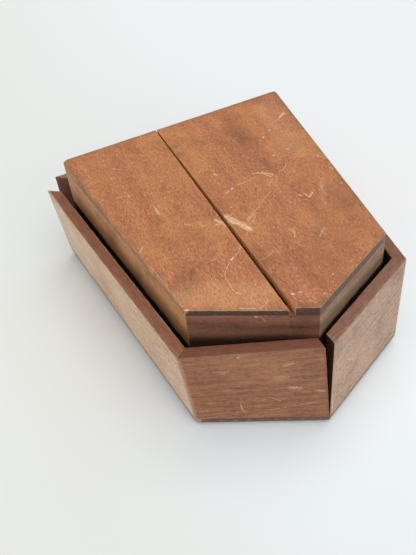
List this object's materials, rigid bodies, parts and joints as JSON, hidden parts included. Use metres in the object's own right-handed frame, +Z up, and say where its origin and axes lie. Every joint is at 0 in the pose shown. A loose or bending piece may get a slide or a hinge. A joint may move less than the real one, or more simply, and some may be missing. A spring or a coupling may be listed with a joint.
{
  "type": "board game piece box",
  "caption": "Five-sided wooden box for game pieces: a mitred tray with a deeper lift-off cover standing in it.",
  "frame": {"origin": "middle of the tray's flat underside, half way along its length on the centre line", "axes": "+Z up, -Y towards the pointed nose, +Y towards the wide back, +X to the right seen from the nose"},
  "size_m": [0.1115, 0.1351, 0.0489],
  "materials": {
    "tray_wood": "worn oiled hardwood, reddish brown, fine grain along each board",
    "cover_wood": "worn oiled hardwood, darker reddish brown, fine grain along each board",
    "top_wood": "worn rubbed hardwood, warm orange brown, fine pores and scratches"
  },
  "bodies": {
    "tray": {"tray_floor": "tray_wood", "tray_back_wall": "tray_wood", "tray_right_wall": "tray_wood", "tray_front_right_wall": "tray_wood", "tray_front_left_wall": "tray_wood", "tray_left_wall": "tray_wood"},
    "cover": {"cover_back_wall": "cover_wood", "cover_right_wall": "cover_wood", "cover_front_right_wall": "cover_wood", "cover_front_left_wall": "cover_wood", "cover_left_wall": "cover_wood", "cover_left_board": "top_wood", "cover_right_board": "top_wood"}
  },
  "joints": [
    {"name": "cover_lift", "type": "slide", "parent": "tray", "child": "cover", "axis": [0, 0, 1], "range_m": [0, 0.06]}
  ]
}
